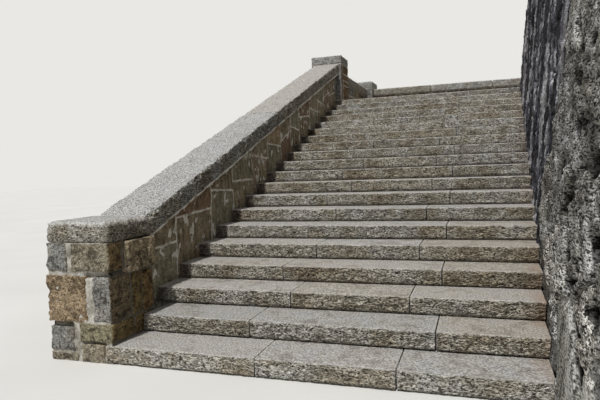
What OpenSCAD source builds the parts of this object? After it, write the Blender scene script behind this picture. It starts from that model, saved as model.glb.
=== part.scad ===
// Straight flight of twenty granite steps between a raked parapet and a battered flank wall.
// Millimetres, +Z up, +Y up the flight, +X towards the flank wall.
// The origin is on the ground, in the middle of the whole footprint.
// Inside the modules, X = 0 is the middle of the flight and Y = 0 is the front of the first riser.

/* [Flight] */
// Height of one step
riser = 150; // [130:5:180]
// Depth of one tread, nosing to nosing
tread = 420; // [340:10:480]
// Width between the parapet and the foot of the flank wall
flight_w = 3320; // [2400:20:4200]
// How far each block runs back under the next riser
step_lap = 60; // [30:5:120]
// Open joint between neighbouring blocks
joint = 6; // [3:1:12]
// Worn-off depth of the top front arris
arris = 12; // [4:1:25]

/* [Parapet] */
// Thickness of the rubble parapet wall
parapet_t = 360; // [300:10:500]
// Height of the coping's top above the line of the nosings
coping_rise = 788; // [600:2:1000]
// Width of the coping slabs
coping_w = 540; // [500:10:700]
// Thickness of the coping slabs, square to their top
coping_t = 200; // [140:5:240]
// Part of the raked length that the lower coping slab takes
coping_split = 0.47; // [0.35:0.01:0.65]

/* [Piers] */
// Width of the lower pier
lower_pier_w = 610; // [560:10:720]
// Depth of the lower pier along the flight
lower_pier_d = 600; // [500:10:800]
// Width of the upper pier
upper_pier_w = 660; // [580:10:760]
// Depth of the upper pier along the flight
upper_pier_d = 620; // [500:10:800]
// Thickness of the block on a pier
cap_t = 175; // [120:5:220]
// How far the upper caps stand out past their piers
cap_over = 8; // [0:1:30]
// How far the first step is built into the lower pier
step_tuck = 78; // [0:2:120]

/* [Landing] */
// Depth of the landing from the last riser to its back wall's pier
landing_d = 3170; // [2600:10:4000]
// Height of the low walls round the landing
landing_wall_h = 655; // [560:5:900]
// Plan size of the pier in the landing's far corner
corner_pier = 750; // [680:10:900]
// How far the corner pier rises above the low walls
corner_rise = 205; // [120:5:300]
// Depth of one course of landing flags
flag_d = 640; // [450:10:800]
// Thickness of the landing flags
flag_t = 150; // [100:10:200]

/* [Flank wall] */
// Height of the flank wall
flank_h = 5100; // [4200:50:6000]
// Thickness of the flank wall at the ground
flank_t = 1400; // [1100:50:1800]
// How far its face leans back for each unit of height
batter = 0.09; // [0.04:0.01:0.14]
// Angle in plan between the flank wall and the flight
splay = 0.95; // [0:0.05:2]
// Length of the flank wall in front of the first riser
flank_near = 1500; // [600:50:2000]
// How far the rough near part of its face stands before the rest
near_proud = 30; // [6:2:60]
// How far that near part reaches up the flight
near_reach = 1980; // [1400:20:2600]

/* [Hidden] */

step_count = 20;
pitch = riser / tread;
run = (step_count - 1) * tread;
landing_z = step_count * riser;
// Both piers, the coping and the parapet share one centre line
parapet_x = -flight_w / 2 - parapet_t / 2;
coping_drop = coping_t * sqrt(1 + pitch * pitch);
lower_cap_top = coping_top(lower_pier_d);
upper_cap_z = coping_top(run) + 6;
landing_wall_top = landing_z + landing_wall_h;
corner_y = run + landing_d;
back_wall_y = corner_y + corner_pier / 2;
back_face_y = back_wall_y - parapet_t / 2;
// The pier in the corner keeps its outer side in line with the upper pier's
corner_x = parapet_x - upper_pier_w / 2 + corner_pier / 2;
// Length of the flank wall past the first riser, one tread beyond the last one
flank_far = run + tread;
landing_x_max = flank_point(flank_t, flank_far)[0];
// Clearance where a block's end meets a wall, and where one mass of masonry bears on another
face_gap = 4;
seat = 0.3;
// Where the flank wall's main face crosses the landing, across the wall
face_at_landing = near_proud + batter * landing_z;
// Where the first flag behind the flank wall's end starts
front_of_end = flank_point(face_at_landing, flank_far)[1] + face_gap;

// Edge of the near part, from the ground up, as [along the wall, height]: it keeps clear of
// the steps up to a knee, juts out once, and then leans back down the flight
knee = 2 * riser + (near_reach - 140) * pitch;
near_edge = [
    [-50, -1],
    [-50, 2 * riser],
    [near_reach - 190, knee],
    [near_reach, knee + 385],
    [near_reach - 640, knee + 645],
    [near_reach - 740, knee + 965],
    [near_reach - 1050, knee + 1375],
    [near_reach - 1130, knee + 2245],
    [near_reach - 1280, flank_h + 1]
];

// Hollows where packing stones are gone: [along the wall, height, half length, half height, depth]
hollows = [
    [-1140, 600, 120, 90, 100],
    [-900, 815, 90, 70, 100],
    [-890, 1107, 110, 100, 110],
    [-280, 1837, 80, 70, 90],
    [130, 2015, 200, 45, 90],
    [2600, 2100, 160, 100, 70],
    [3900, 2500, 200, 120, 70]
];

// Where the joints of a course lie, as parts of the width, on odd and on even steps
odd_joints = [0.405, 0.715];
even_joints = [0.34, 0.785];

x_min = parapet_x - upper_pier_w / 2 - cap_over;
x_max = landing_x_max;
y_min = flank_point(flank_t, -flank_near)[1];
y_max = corner_y + corner_pier + cap_over;
mid_x = (x_min + x_max) / 2;
mid_y = (y_min + y_max) / 2;

// Height of the coping's top at a distance up the flight
function coping_top(y) = riser + y * pitch + coping_rise;

// Plan position of a point of the flank wall, given across and along the wall
function flank_point(across, along) = [
    flight_w / 2 + across * cos(splay) + along * sin(splay),
    along * cos(splay) - across * sin(splay)
];

// Puts a piece drawn from the first riser into the part's own frame
module placed() {
    translate([-mid_x, -mid_y, 0]) children();
}

// Extrudes an outline of [distance up the flight, height] across the flight
module across(x_from, x_to) {
    translate([x_from, 0, 0]) rotate([90, 0, 90]) linear_extrude(x_to - x_from) children();
}

// Space on the stair's side of the flank wall, short of its leaning face by a gap
module stair_side(gap) {
    reach = 2 * flight_w;
    high = flank_h + 500;
    translate([flight_w / 2, 0, 0])
        rotate([0, 0, -splay])
        translate([0, flank_far + 6000, 0])
        rotate([90, 0, 0])
        linear_extrude(flank_far + 6000 + flank_near)
        polygon([
            [-reach, -1],
            [near_proud - gap, -1],
            [near_proud + batter * high - gap, high],
            [-reach, high]
        ]);
}

// Outline of one block of a course, with its worn top arris
module block_outline(i) {
    y = (i - 1) * tread;
    z = (i - 1) * riser;
    polygon([
        [y, z],
        [y + tread + step_lap, z],
        [y + tread + step_lap, z + riser],
        [y + arris, z + riser],
        [y + arris * 0.3, z + riser - arris * 0.3],
        [y, z + riser - arris]
    ]);
}

// Left end of a course: tucked under the pier, up to the pier, or up to the parapet
function course_left(i) =
    i == 1 ? parapet_x + lower_pier_w / 2 - step_tuck + face_gap
    : (i - 1) * tread < lower_pier_d ? parapet_x + lower_pier_w / 2 + face_gap
    : -flight_w / 2 + face_gap;

// Part of the width at which the joints of a course lie
function course_joints(i) = i % 2 == 1 ? odd_joints : even_joints;

// One course of three long blocks, the last one cut to the flank wall's face
module course(i) {
    left = course_left(i);
    cuts = [for (part = course_joints(i)) -flight_w / 2 + part * flight_w];
    right = flight_w / 2 + 600;
    color("darkgray") placed() {
        across(left, cuts[0] - joint / 2) block_outline(i);
        across(cuts[0] + joint / 2, cuts[1] - joint / 2) block_outline(i);
        intersection() {
            across(cuts[1] + joint / 2, right) block_outline(i);
            stair_side(face_gap);
        }
    }
}

// Stepped masonry that carries every course but the first
module flight_bed() {
    start = tread + step_lap;
    steps = [for (i = [1 : step_count - 1]) each [
        [i * tread + step_lap, (i - 1) * riser],
        [i * tread + step_lap, i * riser]
    ]];
    finish = flank_far + step_lap;
    color("dimgray") placed() intersection() {
        across(-flight_w / 2, flight_w / 2 + 600)
            polygon(concat(
                [[start, 0]],
                [for (k = [1 : len(steps) - 1]) steps[k]],
                [[finish, (step_count - 1) * riser], [finish, 0]]
            ));
        stair_side(seat);
    }
}

// A plain upright block, given by its middle in plan, its size in plan and its heights
module upright(x, y_from, width, depth, z_from, z_to) {
    translate([x - width / 2, y_from, z_from]) cube([width, depth, z_to - z_from]);
}

module lower_pier() {
    notch_x = parapet_x + lower_pier_w / 2 - step_tuck;
    color("tan") placed() difference() {
        upright(parapet_x, 0, lower_pier_w, lower_pier_d, 0, lower_cap_top - cap_t);
        translate([notch_x, -1, -1])
            cube([step_tuck + 1, tread + step_lap + 1, riser + 1]);
    }
}

module lower_pier_cap() {
    color("silver") placed()
        upright(parapet_x, 0, lower_pier_w, lower_pier_d, lower_cap_top - cap_t, lower_cap_top);
}

// Rubble wall under the raked coping, from pier to pier
module parapet_wall() {
    low = coping_top(lower_pier_d) - coping_drop;
    high = coping_top(run) - coping_drop;
    color("saddlebrown") placed()
        across(parapet_x - parapet_t / 2, parapet_x + parapet_t / 2)
        polygon([[lower_pier_d, 0], [run, 0], [run, high], [lower_pier_d, low]]);
}

// Raked slab between two ends, each end plumb or square to the rake
module coping_slab(from, to, from_lean, to_lean) {
    top_from = coping_top(from);
    top_to = coping_top(to);
    color("silver") placed()
        across(parapet_x - coping_w / 2, parapet_x + coping_w / 2)
        polygon([
            [from, top_from],
            [from + from_lean, top_from + from_lean * pitch - coping_drop],
            [to + to_lean, top_to + to_lean * pitch - coping_drop],
            [to, top_to]
        ]);
}

// How far the foot of an end that is square to the rake runs on from its top
square_lean = coping_drop * pitch / (1 + pitch * pitch);
split_y = lower_pier_d + (run - lower_pier_d) * coping_split;

module coping_lower() {
    coping_slab(lower_pier_d, split_y - joint / 2, 0, square_lean);
}

module coping_upper() {
    coping_slab(split_y + joint / 2, run, square_lean, 0);
}

// Everything on the stair's side of the parapet's face, up to the landing
module room_for_landing(y_from, y_to) {
    translate([-flight_w / 2 - seat, y_from, -1])
        cube([flight_w, y_to - y_from, landing_z + 1 + seat]);
}

// The part that stands out past the parapet rests on the last step and the landing
module upper_pier() {
    color("tan") placed() difference() {
        upright(parapet_x, run, upper_pier_w, upper_pier_d, 0, upper_cap_z);
        room_for_landing(run - 1, run + upper_pier_d + 1);
    }
}

module upper_pier_cap() {
    size_x = upper_pier_w + 2 * cap_over;
    size_y = upper_pier_d + cap_over;
    color("silver") placed()
        upright(parapet_x, run, size_x, size_y, upper_cap_z, upper_cap_z + cap_t);
}

// Masonry that fills the landing and closes up to the flank wall's end
module landing_core() {
    front = flank_far + step_lap;
    color("dimgray") placed() linear_extrude(landing_z - flag_t)
        polygon([
            [-flight_w / 2, front],
            [flank_point(face_at_landing, front)[0], front],
            flank_point(face_at_landing, flank_far + face_gap),
            [landing_x_max, flank_point(flank_t, flank_far + face_gap)[1]],
            [landing_x_max, back_face_y],
            [-flight_w / 2, back_face_y]
        ]);
}

// One landing flag, between two parts of the landing's width
module flag(left, wide, part_from, part_to, y_from, y_to) {
    x_from = left + part_from * wide + (part_from == 0 ? 0 : joint / 2);
    x_to = left + part_to * wide - (part_to == 1 ? 0 : joint / 2);
    translate([x_from, y_from, landing_z - flag_t]) cube([x_to - x_from, y_to - y_from, flag_t]);
}

// Flags laid in courses across the landing, with the joints staggered like the steps'
module landing_floor() {
    first = flank_far + step_lap + joint;
    last = back_face_y - face_gap;
    rows = round((last - first) / flag_d);
    row_d = (last - first + joint) / rows;
    left = -flight_w / 2 + face_gap;
    wide = landing_x_max - left;
    behind = (flank_point(face_at_landing, front_of_end)[0] - left) / wide;
    color("darkgray") placed()
        for (r = [0 : rows - 1]) {
            cuts = r % 2 == 0 ? [0, 0.26, 0.52, behind, 1] : [0, 0.17, 0.41, 0.66, 1];
            y = first + r * row_d;
            for (k = [0 : len(cuts) - 2])
                flag(left, wide, cuts[k], cuts[k + 1],
                    r == 0 && k == len(cuts) - 2 ? front_of_end : y, y + row_d - joint);
        }
}

module landing_side_wall() {
    from = run + upper_pier_d;
    color("saddlebrown") placed()
        upright(parapet_x, from, parapet_t, corner_y - from, 0, landing_wall_top - cap_t);
}

module landing_side_coping() {
    from = run + upper_pier_d + cap_over;
    color("silver") placed()
        upright(parapet_x, from, coping_w, corner_y - from, landing_wall_top - cap_t,
            landing_wall_top);
}

module corner_pier() {
    color("tan") placed() difference() {
        upright(corner_x, corner_y, corner_pier, corner_pier, 0,
            landing_wall_top + corner_rise - cap_t);
        room_for_landing(corner_y - 1, back_face_y + seat);
    }
}

module corner_pier_cap() {
    top = landing_wall_top + corner_rise;
    color("silver") placed()
        upright(corner_x, corner_y, corner_pier + 2 * cap_over, corner_pier + cap_over,
            top - cap_t, top);
}

module landing_back_wall() {
    from = corner_x + corner_pier / 2;
    color("saddlebrown") placed()
        translate([from, back_face_y, 0])
        cube([landing_x_max - from, parapet_t, landing_wall_top - cap_t]);
}

// Two slabs end to end
module landing_back_coping() {
    from = corner_x + corner_pier / 2 + cap_over;
    length = (landing_x_max - from - joint) / 2;
    color("silver") placed()
        for (k = [0, 1])
            translate([
                from + k * (length + joint),
                back_wall_y - coping_w / 2,
                landing_wall_top - cap_t
            ])
                cube([length, coping_w, cap_t]);
}

// The wall's plain mass, with its leaning face a distance back from the near part's
module flank_mass(back) {
    translate([0, flank_far, 0])
        rotate([90, 0, 0])
        linear_extrude(flank_far + flank_near)
        polygon([
            [back, 0],
            [flank_t, 0],
            [flank_t, flank_h],
            [back + batter * flank_h, flank_h]
        ]);
}

// One hollow in the face, with six uneven sides
module hollow(along, height, long, high, depth) {
    face = batter * height + (along > near_reach ? near_proud : 0);
    across(face - 200, face + depth)
        translate([along, height])
        polygon([
            [-long, high * 0.2],
            [-long * 0.7, -high * 0.7],
            [long * 0.4, -high],
            [long, -high * 0.1],
            [long * 0.6, high * 0.8],
            [-long * 0.5, high]
        ]);
}

// Massive wall whose face leans away from the flight, rougher and further forward at its near end
module flank_wall() {
    color("gray") placed()
        translate([flight_w / 2, 0, 0])
        rotate([0, 0, -splay])
        difference() {
            union() {
                flank_mass(near_proud);
                intersection() {
                    flank_mass(0);
                    across(-1, flank_t + 1)
                        polygon(concat(
                            [[-flank_near - 1, -1]],
                            near_edge,
                            [[-flank_near - 1, flank_h + 1]]
                        ));
                }
            }
            for (h = hollows) hollow(h[0], h[1], h[2], h[3], h[4]);
        }
}

course(1);  // step_01
course(2);  // step_02
course(3);  // step_03
course(4);  // step_04
course(5);  // step_05
course(6);  // step_06
course(7);  // step_07
course(8);  // step_08
course(9);  // step_09
course(10);  // step_10
course(11);  // step_11
course(12);  // step_12
course(13);  // step_13
course(14);  // step_14
course(15);  // step_15
course(16);  // step_16
course(17);  // step_17
course(18);  // step_18
course(19);  // step_19
course(20);  // step_20
flight_bed();
lower_pier();
lower_pier_cap();
parapet_wall();
coping_lower();
coping_upper();
upper_pier();
upper_pier_cap();
landing_core();
landing_floor();
landing_side_wall();
landing_side_coping();
corner_pier();
corner_pier_cap();
landing_back_wall();
landing_back_coping();
flank_wall();
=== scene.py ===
import math
import random

import bmesh
import bpy
from mathutils import Matrix, Vector, noise


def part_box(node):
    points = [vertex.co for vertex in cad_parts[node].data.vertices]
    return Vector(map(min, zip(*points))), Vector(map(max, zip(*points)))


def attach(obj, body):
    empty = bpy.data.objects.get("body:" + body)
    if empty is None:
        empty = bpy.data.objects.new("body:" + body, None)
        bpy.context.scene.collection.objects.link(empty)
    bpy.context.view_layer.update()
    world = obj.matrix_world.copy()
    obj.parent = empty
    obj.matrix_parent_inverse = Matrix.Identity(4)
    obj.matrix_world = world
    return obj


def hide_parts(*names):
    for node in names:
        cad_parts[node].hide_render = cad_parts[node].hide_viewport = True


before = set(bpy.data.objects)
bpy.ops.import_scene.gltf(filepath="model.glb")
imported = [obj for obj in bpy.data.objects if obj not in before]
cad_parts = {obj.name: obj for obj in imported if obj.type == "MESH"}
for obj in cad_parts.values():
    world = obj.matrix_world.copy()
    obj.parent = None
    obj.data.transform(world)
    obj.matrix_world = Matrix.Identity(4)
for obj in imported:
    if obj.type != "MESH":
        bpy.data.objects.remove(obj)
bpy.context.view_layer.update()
# noise_vector takes its offsets from this seed, so that each run gives the same shapes
noise.seed_set(7)

# Camera: it stood low on the lawn, a little right of the middle of the flight and 3.6 m in front
# of it, turned left towards the parapet, looking slightly down and held slightly askew.
flight_width = 3.320
parapet_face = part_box("parapet_wall")[1].x
# The middle of the flight at the foot of the first riser, from which every piece is measured
foot = Vector((parapet_face + flight_width / 2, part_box("step_01")[0].y, 0.0))

camera_turn, camera_tilt, camera_roll = (math.radians(a) for a in (18.21, -3.12, -1.91))
camera_stand = Vector((1.252, -3.5628, 1.5042))
ahead = Vector((-math.sin(camera_turn) * math.cos(camera_tilt),
                math.cos(camera_turn) * math.cos(camera_tilt), math.sin(camera_tilt)))
level = Vector((math.cos(camera_turn), math.sin(camera_turn), 0.0))
above = level.cross(ahead)
right = level * math.cos(camera_roll) + above * math.sin(camera_roll)
up = above * math.cos(camera_roll) - level * math.sin(camera_roll)


def add_object(name, data):
    """Puts a mesh, a light or a camera into the scene."""
    made = bpy.data.objects.new(name, data)
    bpy.context.scene.collection.objects.link(made)
    return made


# The lens is 540.5 pixels long where the picture is 600 pixels wide
camera_data = bpy.data.cameras.new("camera")
camera_data.sensor_width = 36.0
camera_data.lens = camera_data.sensor_width * 540.5 / 600.0
camera_data.clip_end = 100.0
camera = add_object("camera", camera_data)
camera.matrix_world = Matrix.Translation(foot + camera_stand) @ Matrix(
    (right, up, -ahead)).transposed().to_4x4()
bpy.context.scene.camera = camera

# Steps: twenty courses of three long granite blocks, split from the quarry bed. The treads are
# dressed and worn smooth, the risers are left as the hammer broke them, and each block lies
# dry on the back of the one below.
riser, tread, lap = 0.150, 0.420, 0.060
pitch = riser / tread
joint, wall_gap = 0.006, 0.004
# How the flank wall leans back, turns from the flight, and stands forward in its near part
batter, splay, near_proud = 0.09, math.radians(0.95), 0.030
# Where a course is divided, as parts of the flight's width
odd_joints, even_joints = (0.405, 0.715), (0.34, 0.785)


def linear(colour):
    """An sRGB hex colour as the linear values a shader works in."""
    channels = [int(colour[k:k + 2], 16) / 255 for k in (1, 3, 5)]
    return tuple(c / 12.92 if c <= 0.04045 else ((c + 0.055) / 1.055) ** 2.4
                 for c in channels) + (1.0,)


def add(tree, kind, inputs=None, out=0, steps=None, **settings):
    """Adds a shader node with its settings and what goes into its sockets, and gives one of its
    outputs. steps are the places and hex colours of a ramp."""
    made = tree.nodes.new("ShaderNode" + kind)
    for name, value in settings.items():
        setattr(made, name, value)
    if steps:
        elements = made.color_ramp.elements
        elements.remove(elements[1])
        for k, (place, colour) in enumerate(steps.items()):
            element = elements.new(place) if k else elements[0]
            element.position, element.color = place, linear(colour)
    for name, value in (inputs or {}).items():
        if isinstance(value, bpy.types.NodeSocket):
            tree.links.new(value, made.inputs[name])
        else:
            value = linear(value) if isinstance(value, str) else value
            made.inputs[name].default_value = value
    return made.outputs[out] if made.outputs else made


# Settings of a Mix node that lays one colour over another, or darkens one by another
cover = {"out": 2, "data_type": "RGBA"}
darken = {**cover, "blend_type": "MULTIPLY"}


def start_material(name, roughness, ior, reads=(), specular=0.5):
    """A new material with its plain surface. It gives the place on the object, from which its
    patterns are made, and what each point of the mesh says about itself."""
    material = bpy.data.materials.new(name)
    material.use_nodes = True
    tree = material.node_tree
    for socket, value in (("Roughness", roughness), ("IOR", ior), ("Specular IOR Level", specular)):
        tree.nodes["Principled BSDF"].inputs[socket].default_value = value
    return (material, tree, add(tree, "TexCoord", out="Object"),
            *(add(tree, "Attribute", out="Fac", attribute_name=each) for each in reads))


def paint(tree, colour, height, distance, strength=1.0):
    """Gives the surface its colour, and its fine relief from a height in parts of a distance."""
    surface = tree.nodes["Principled BSDF"]
    bump = add(tree, "Bump", {"Height": height, "Strength": strength, "Distance": distance})
    tree.links.new(colour, surface.inputs["Base Color"])
    tree.links.new(bump, surface.inputs["Normal"])


def stretched(place, scale, detail, roughness):
    """Noise drawn out along the axes; scale is how often it turns in a metre along each."""
    tree = place.id_data
    drawn = add(tree, "Mapping", {"Vector": place, "Scale": scale})
    return add(tree, "TexNoise", {"Vector": drawn, "Scale": 1.0, "Detail": detail,
                                  "Roughness": roughness})


def broken_facets(place, long, high):
    """The flat chips that a hammer leaves, each tilted its own way: their height, and a grey set by
    how far each chip tilts up, which is painted light and shade. long and high are a chip's size
    in metres."""
    tree = place.id_data
    scaled = add(tree, "Mapping", {"Vector": place, "Scale": (1 / long, 1 / long, 1 / high)})
    middle = add(tree, "TexVoronoi", {"Vector": scaled, "Scale": 1.0}, "Position")
    own_colour = middle.node.outputs["Color"]
    offset = add(tree, "VectorMath", {0: scaled, 1: middle}, operation="SUBTRACT")
    lean = add(tree, "VectorMath", {0: own_colour, 1: (0.5, 0.5, 0.5)}, operation="SUBTRACT")
    height = add(tree, "VectorMath", {0: offset, 1: lean}, "Value", operation="DOT_PRODUCT")
    # The grey is the chip's upward lean: painted light and shade
    return height, add(tree, "SeparateColor", {0: own_colour}, 2)


def granite(name, dressed, broken, grain=0.3, clouds=0.6, soil=None):
    """Granite with dressed and broken faces; the block's own attributes say which is where.

    dressed and broken are three colours each, from dark to pale: grains on dressed faces, and on
    broken faces painted shade in the pits; soil is the colour of dirt washed against the blocks'
    ends, and without it the sides towards the steps are darkened brown, as painted shade with
    some brown stain."""
    material, tree, place, stone, worn, edge, earth_and_shade, tone_and_shade = start_material(
        name, 0.82, 1.54, ("stone", "worn", "edge", "earth_and_shade", "kind"))
    apart = add(tree, "Math", {0: stone, 1: 23.0}, operation="MULTIPLY")
    own = add(tree, "VectorMath", {0: place, 1: apart}, operation="ADD")
    # Feldspar and mica grains of 3 to 6 mm, drawn about 14 mm wide so that they show
    speck = add(tree, "TexNoise", {"Vector": own, "Scale": 72.0, "Detail": 0.6, "Roughness": 0.6})
    # The broken face: chips of 36 by 18 mm and of 80 by 36 mm, with hollows between them
    chip_height, chip_tilt_shade = broken_facets(own, 0.036, 0.018)
    big_height, _ = broken_facets(own, 0.080, 0.036)
    pits = stretched(own, (50.0, 50.0, 96.0), 1.0, 0.5)
    relief = add(tree, "Math", {0: big_height, 1: 1.6, 2: chip_height}, operation="MULTIPLY_ADD")
    relief = add(tree, "Math", {0: pits, 1: 0.9, 2: relief}, operation="MULTIPLY_ADD")
    # Broken faces are painted dark in their pits and grey by each chip's tilt: painted shade
    pit_and_chip_shade = add(tree, "Mix", {0: 0.12, 2: pits, 3: chip_tilt_shade})
    # Weathering in patches of a hand's breadth, with smaller mottles over them
    patch = add(tree, "TexNoise", {"Vector": own, "Scale": 5.5, "Detail": 4.0, "Roughness": 0.65})
    flat = add(tree, "ValToRGB", {"Fac": speck}, steps=dict(zip((0.34, 0.48, 0.64), dressed)))
    rough = add(tree, "ValToRGB", {"Fac": pit_and_chip_shade}, steps=dict(zip((0.36, 0.46, 0.60), broken)))
    rough = add(tree, "Mix", {0: 0.35, 6: rough, 7: flat}, **cover, blend_type="SOFT_LIGHT")
    # Broken faces hold stains of olive and brown, half a metre long
    stain = add(tree, "TexNoise", {"Vector": own, "Scale": 2.6, "Detail": 3.0, "Roughness": 0.6})
    stained = add(tree, "ValToRGB", {"Fac": stain},
                  steps={0.32: "#b09d7a", 0.43: "#d9d1bc", 0.52: "#f2f0ea", 0.64: "#ffffff"})
    # Risers differ in tone up the flight: the first is the palest, those behind it are a little
    # darker, the third and fourth most, and from about the fifteenth they are pale again. All but
    # the first are darkened in the corner beside the parapet: painted shadow of the parapet, with
    # some dirt.
    tone_and_corner_shade = add(tree, "ValToRGB", {"Fac": tone_and_shade},
                 steps={0.05: "#ffffff", 0.1: "#f6f5f3", 0.16: "#e4e2de", 0.5: "#f0efec",
                        0.7: "#ffffff", 0.96: "#ffffff", 1.0: "#9a8f88"})
    for amount, colour in ((0.7, stained), (1.0, tone_and_corner_shade)):
        rough = add(tree, "Mix", {0: amount, 6: rough, 7: colour}, **darken)
    face = add(tree, "Mix", {0: worn, 6: rough, 7: flat}, **cover)
    tone = add(tree, "ValToRGB", {"Fac": patch},
               steps={0.32: "#908a82", 0.41: "#c6c0b7", 0.47: "#e9e5df", 0.53: "#f4f3f1",
                      0.58: "#dadbde", 0.68: "#ffffff"})
    each = add(tree, "ValToRGB", {"Fac": stone},
               steps={0.0: "#e9e4d9", 0.35: "#ffffff", 0.7: "#eceef0", 1.0: "#f7f1e8"})
    # Arrises are rubbed pale
    pale = add(tree, "Math", {0: edge, 1: 0.5}, operation="MULTIPLY")
    for amount, colour, way in ((clouds, tone, darken), (0.85, each, darken),
                                (pale, "#d2cfc7", cover)):
        face = add(tree, "Mix", {0: amount, 6: face, 7: colour}, **way)
    # Soil washed into corners, and the sides towards the steps darkened brown: painted shade, with
    # some brown stain
    dirt_and_shade = add(tree, "Math", {0: earth_and_shade, 1: patch}, operation="MULTIPLY", use_clamp=True)
    dirt_and_shade = add(tree, "Math", {0: dirt_and_shade, 1: 1.7}, operation="MULTIPLY", use_clamp=True)
    way = cover if soil else darken
    soiled_and_shaded = add(tree, "Mix", {0: 0.6, 6: face, 7: soil or "#9c8a68"}, **way)
    face = add(tree, "Mix", {0: dirt_and_shade, 6: face, 7: soiled_and_shaded}, **cover)
    fine = add(tree, "Math", {0: speck, 1: grain}, operation="MULTIPLY")
    height = add(tree, "Mix", {0: worn, 2: relief, 3: fine})
    paint(tree, face, height, 0.055)
    return material


# Grey granite, bush-hammered on top and walked smooth, rock-faced in front: pale speckled
# treads over brown-grey risers full of small pits
step_granite = granite("worn_and_rock_faced_granite", ("#8b8782", "#a9a59f", "#c9c5bf"),
                       ("#4d473d", "#ccc7bd", "#fbf9f4"), grain=0.2, soil="#8d7259")


def spread(length, cell, edge):
    """Cuts along a side, close together over the worn arrises and a cell apart between them."""
    edge = min(edge, length * 0.25)
    count = max(1, round((length - 2 * edge) / cell))
    return ([0.0, edge * 0.4] + [edge + (length - 2 * edge) * k / count for k in range(count + 1)]
            + [length - edge * 0.4, length])


def quarry_face(a, h, seed):
    """Relief of a face broken with the hammer, between about -1 and 1: long low ridges with
    short sharp ones across them, for a place along and up the face in metres."""
    broad = noise.noise((a * 3.4, h * 9.0, seed))
    sharp = noise.ridged_multi_fractal((a * 18.0, h * 34.0, seed + 9.0), 0.6, 2.1, 2, 1.0, 2.0)
    return 0.45 * broad + 0.9 * (sharp - 0.9)


def weather(bm, size, arris, relief, place, seed, stone, worn, kind=0.0, chips=0.5, shade=0.0,
            under=1.0):
    """Gives a sharp block with one corner at the origin its worn arrises and its relief.

    arris is how far it is worn off along each axis, and chips how unevenly; relief(p, out) says
    how far the face stands out at a point, worn(p, out) how smooth it is, place(p) puts the
    point where it belongs, stone and kind are numbers that the materials pick their colours by,
    shade is how far its side towards the steps is darkened brown, which is painted shade where
    the sun doesn't reach with some brown stain, and under is how high the lower arrises are
    worn, as a part of the upper ones."""
    layers = {n: bm.verts.layers.float.get(n) or bm.verts.layers.float.new(n)
              for n in ("stone", "worn", "kind", "earth_and_shade", "edge")}
    arris = Vector((arris,) * 3 if isinstance(arris, float) else arris)
    for v in bm.verts:
        p = v.co.copy()
        wear = max(0.3, 1.0 + chips * noise.noise(p * 9.0 + Vector((seed, 0, 0)))
                   + chips * noise.noise(p * 31.0 + Vector((0, seed, 0))))
        off = arris * wear
        if p.z < size[2] / 2:
            off.z *= under
        core = Vector([min(max(p[k], off[k]), size[k] - off[k]) for k in range(3)])
        round_at = Vector([(p[k] - core[k]) / off[k] for k in range(3)]).normalized()
        out = Vector([round_at[k] / off[k] for k in range(3)]).normalized()
        p = core + Vector([round_at[k] * off[k] for k in range(3)])
        v[layers["stone"]] = stone
        v[layers["kind"]] = kind
        v[layers["worn"]] = worn(p, out)
        v[layers["edge"]] = min(1.0, 3.4 * (1.0 - max(abs(c) for c in out)))
        v[layers["earth_and_shade"]] = shade * max(0.0, out.x)
        p = p + out * relief(p, out)
        v.co = place(p)


def finish_piece(bm, name, materials, slot, *nodes):
    """Turns a mesh made from the foot of the flight into a piece of the part."""
    bmesh.ops.translate(bm, verts=bm.verts, vec=foot)
    bmesh.ops.recalc_face_normals(bm, faces=bm.faces)
    mesh = bpy.data.meshes.new(name)
    bm.to_mesh(mesh)
    bm.free()
    mesh.shade_smooth()
    for material in materials:
        mesh.materials.append(material)
    piece = add_object(name, mesh)
    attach(piece, "root")
    if nodes:
        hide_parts(*nodes)


def join(bm, block, material_index=0):
    """Moves a finished block into the mesh of its piece, under one of the piece's materials."""
    for face in block.faces:
        face.material_index = material_index
    mesh = bpy.data.meshes.new("block")
    block.to_mesh(mesh)
    block.free()
    bm.from_mesh(mesh)
    bpy.data.meshes.remove(mesh)


def corners(node):
    """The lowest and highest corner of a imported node, from the foot of the flight."""
    return [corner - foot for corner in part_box(node)]


def flank_foot(y, z):
    """Where the flank wall's main face is, across the flight, at a distance up it and a height;
    its rough near part stands before that."""
    return flight_width / 2 + near_proud + batter * z / math.cos(splay) + y * math.tan(splay)


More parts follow.
